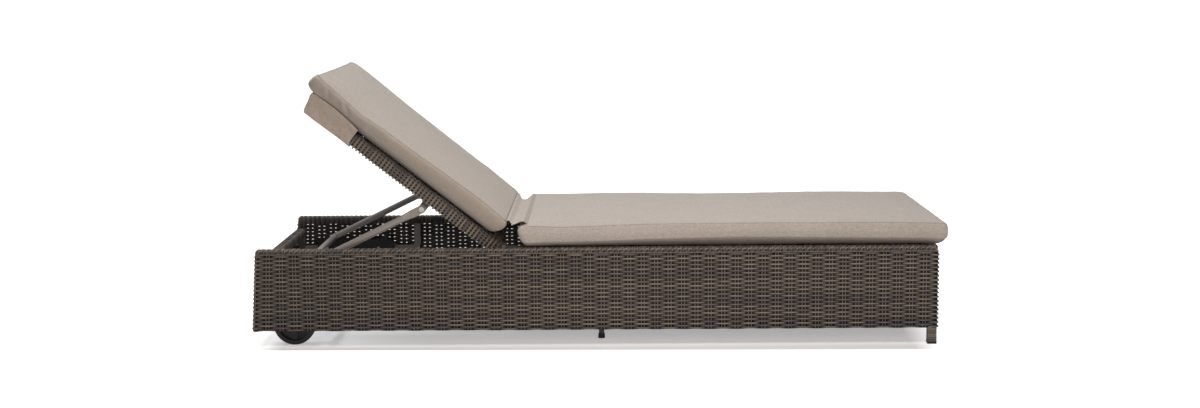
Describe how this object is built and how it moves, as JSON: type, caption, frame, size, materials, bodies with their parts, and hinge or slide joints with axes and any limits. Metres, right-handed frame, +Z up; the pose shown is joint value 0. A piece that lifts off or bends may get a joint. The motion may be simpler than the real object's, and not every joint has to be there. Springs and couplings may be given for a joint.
{
  "type": "sun lounger",
  "caption": "Low woven lounger on legs and wheels, with a raising back held by a notched prop, an open well under it and a padded cushion with a head pocket.",
  "frame": {"origin": "on the floor, below the middle of the object's box", "axes": "+X from the head end to the foot end along the length, +Z up, +Y to the lying user's left"},
  "size_m": [2.02, 0.71, 0.7959],
  "materials": {
    "frame_aluminium": "matt brown powder coat",
    "powder_coated_tube": "satin grey-brown powder coat",
    "wicker": "woven synthetic rattan strands in mixed khaki and grey brown",
    "black_plastic": "moulded, fine grain",
    "zinc_steel": "passivated zinc plate",
    "cushion_fabric": "melange beige plain-weave cover over foam",
    "cover_cloth": "the same cover cloth without foam"
  },
  "bodies": {
    "base": {"axle_bolts": "zinc_steel", "axle_carriers": "frame_aluminium", "axle_rail": "frame_aluminium", "axle_spacers": "zinc_steel", "bottom_rail_left": "frame_aluminium", "bottom_rail_right": "frame_aluminium", "centre_foot_caps": "black_plastic", "centre_posts": "frame_aluminium", "centre_rail": "frame_aluminium", "cushion_web": "cover_cloth", "foot_bottom_rail": "frame_aluminium", "foot_top_rail": "frame_aluminium", "foot_weave": "wicker", "head_bottom_rail": "frame_aluminium", "head_posts": "frame_aluminium", "head_rim": "wicker", "head_top_rail": "frame_aluminium", "head_weave": "wicker", "hinge_bolts": "zinc_steel", "hinge_lugs": "frame_aluminium", "hinge_rail": "frame_aluminium", "leg_caps": "black_plastic", "leg_sleeves": "wicker", "legs": "frame_aluminium", "ratchet_hanger_left": "powder_coated_tube", "ratchet_hanger_right": "powder_coated_tube", "ratchet_left": "black_plastic", "ratchet_right": "black_plastic", "ratchet_screws": "zinc_steel", "seat_cushion": "cushion_fabric", "seat_rails": "frame_aluminium", "seat_weave": "wicker", "side_rim_left": "wicker", "side_rim_right": "wicker", "side_weave_left": "wicker", "side_weave_right": "wicker", "top_rail_left": "frame_aluminium", "top_rail_right": "frame_aluminium"},
    "backrest": {"back_bottom_rail": "frame_aluminium", "back_cross_rails": "frame_aluminium", "back_cushion": "cushion_fabric", "back_head_weave": "wicker", "back_side_rail_left": "frame_aluminium", "back_side_rail_right": "frame_aluminium", "back_side_weave_left": "wicker", "back_side_weave_right": "wicker", "back_top_rail": "frame_aluminium", "back_top_weave": "wicker", "hinge_tabs": "frame_aluminium", "prop_ears": "frame_aluminium", "prop_bolts": "zinc_steel", "cushion_hood": "cover_cloth"},
    "prop": {"prop_leg_left": "powder_coated_tube", "prop_leg_right": "powder_coated_tube", "prop_bar": "powder_coated_tube"},
    "wheel_left": {"wheel_left": "black_plastic", "wheel_bush_left": "black_plastic"},
    "wheel_right": {"wheel_right": "black_plastic", "wheel_bush_right": "black_plastic"}
  },
  "joints": [
    {"name": "backrest_hinge", "type": "hinge", "parent": "base", "child": "backrest", "pos_m": [-0.283, 0, 0.283], "axis": [0, 1, 0], "range_deg": [-38, 26.4], "deforming": ["cushion_web"]},
    {"name": "prop_pivot", "type": "hinge", "parent": "backrest", "child": "prop", "pos_m": [-0.52051, 0, 0.40131], "axis": [0, 1, 0], "range_deg": [-43.56, 62.7]},
    {"name": "wheel_left_spin", "type": "hinge", "parent": "base", "child": "wheel_left", "pos_m": [-0.904, 0.302, 0.062], "axis": [0, 1, 0], "continuous": true},
    {"name": "wheel_right_spin", "type": "hinge", "parent": "base", "child": "wheel_right", "pos_m": [-0.904, -0.302, 0.062], "axis": [0, 1, 0], "continuous": true}
  ],
  "couplings": [
    {"joint": "prop_pivot", "follows": "backrest_hinge", "ratio": -1.65}
  ]
}
